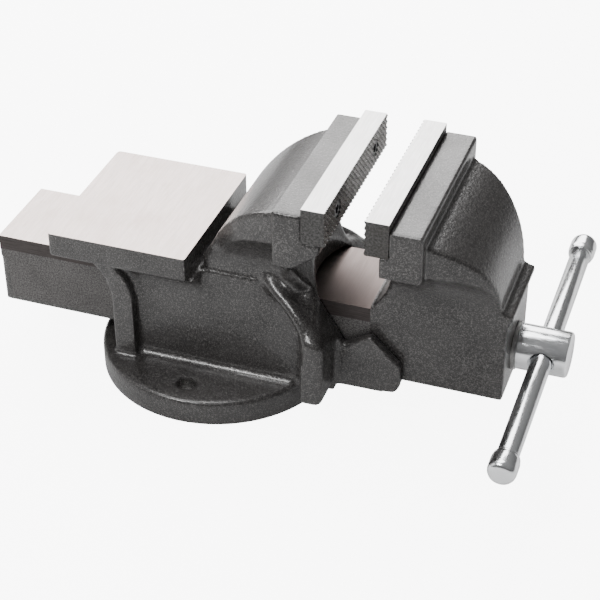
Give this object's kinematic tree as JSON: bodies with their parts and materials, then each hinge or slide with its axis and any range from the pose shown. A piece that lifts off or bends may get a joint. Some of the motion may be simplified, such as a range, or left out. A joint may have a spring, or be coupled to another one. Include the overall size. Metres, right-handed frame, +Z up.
{
  "type": "bench vise",
  "caption": "Fixed-base bench vise: cast body with anvil, sliding jaw on a box slide, serrated jaw plates, screw spindle and sliding bar handle.",
  "frame": {"origin": "centre of the base disc on its underside, midway between the two bolt holes", "axes": "+X along the slide, from the anvil towards the handle; +Y across the jaws, away from the side that the picture shows; +Z up"},
  "size_m": [0.4489, 0.2902, 0.1975],
  "materials": {
    "painted_casting": "dark grey hammertone enamel on cast iron, ground bright on the anvil, the slide's top and its upper sides",
    "jaw_steel": "ground tops, crossed serrations on the gripping faces, dark ends",
    "plated_steel": "bright plated, slightly wavy from forging and polishing",
    "nut_iron": "as cast, greased",
    "fastener_steel": "zinc plated or blackened",
    "spring_steel": "drawn spring wire"
  },
  "bodies": {
    "base": {"fixed_body": "painted_casting", "fixed_jaw_plate": "jaw_steel", "fixed_jaw_screw_near": "fastener_steel", "fixed_jaw_screw_far": "fastener_steel", "spindle_nut": "nut_iron", "nut_bolt_front": "fastener_steel", "nut_bolt_rear": "fastener_steel", "nut_washer_front": "fastener_steel", "nut_washer_rear": "fastener_steel"},
    "sliding_jaw": {"moving_jaw": "painted_casting", "moving_jaw_plate": "jaw_steel", "moving_jaw_screw_near": "fastener_steel", "moving_jaw_screw_far": "fastener_steel"},
    "spindle": {"lead_screw": "plated_steel", "thrust_washer": "fastener_steel", "spindle_spring": "spring_steel", "spring_washer": "fastener_steel", "cotter_pin": "fastener_steel"},
    "handle": {"handle_bar": "plated_steel", "handle_cap_near": "plated_steel", "handle_cap_far": "plated_steel"}
  },
  "joints": [
    {"name": "jaw_slide", "type": "slide", "parent": "base", "child": "sliding_jaw", "axis": [1, 0, 0], "range_m": [-0.0268, 0.1232]},
    {"name": "spindle_turn", "type": "hinge", "parent": "sliding_jaw", "child": "spindle", "pos_m": [0.2, 0, 0.0635], "axis": [1, 0, 0], "range_deg": [-1922, 8852]},
    {"name": "handle_slide", "type": "slide", "parent": "spindle", "child": "handle", "axis": [0, 0.9995, 0.0314], "range_m": [-0.1092, 0.1052]}
  ],
  "couplings": [
    {"joint": "jaw_slide", "follows": "spindle_turn", "m_per_rad": 0.00079577}
  ]
}
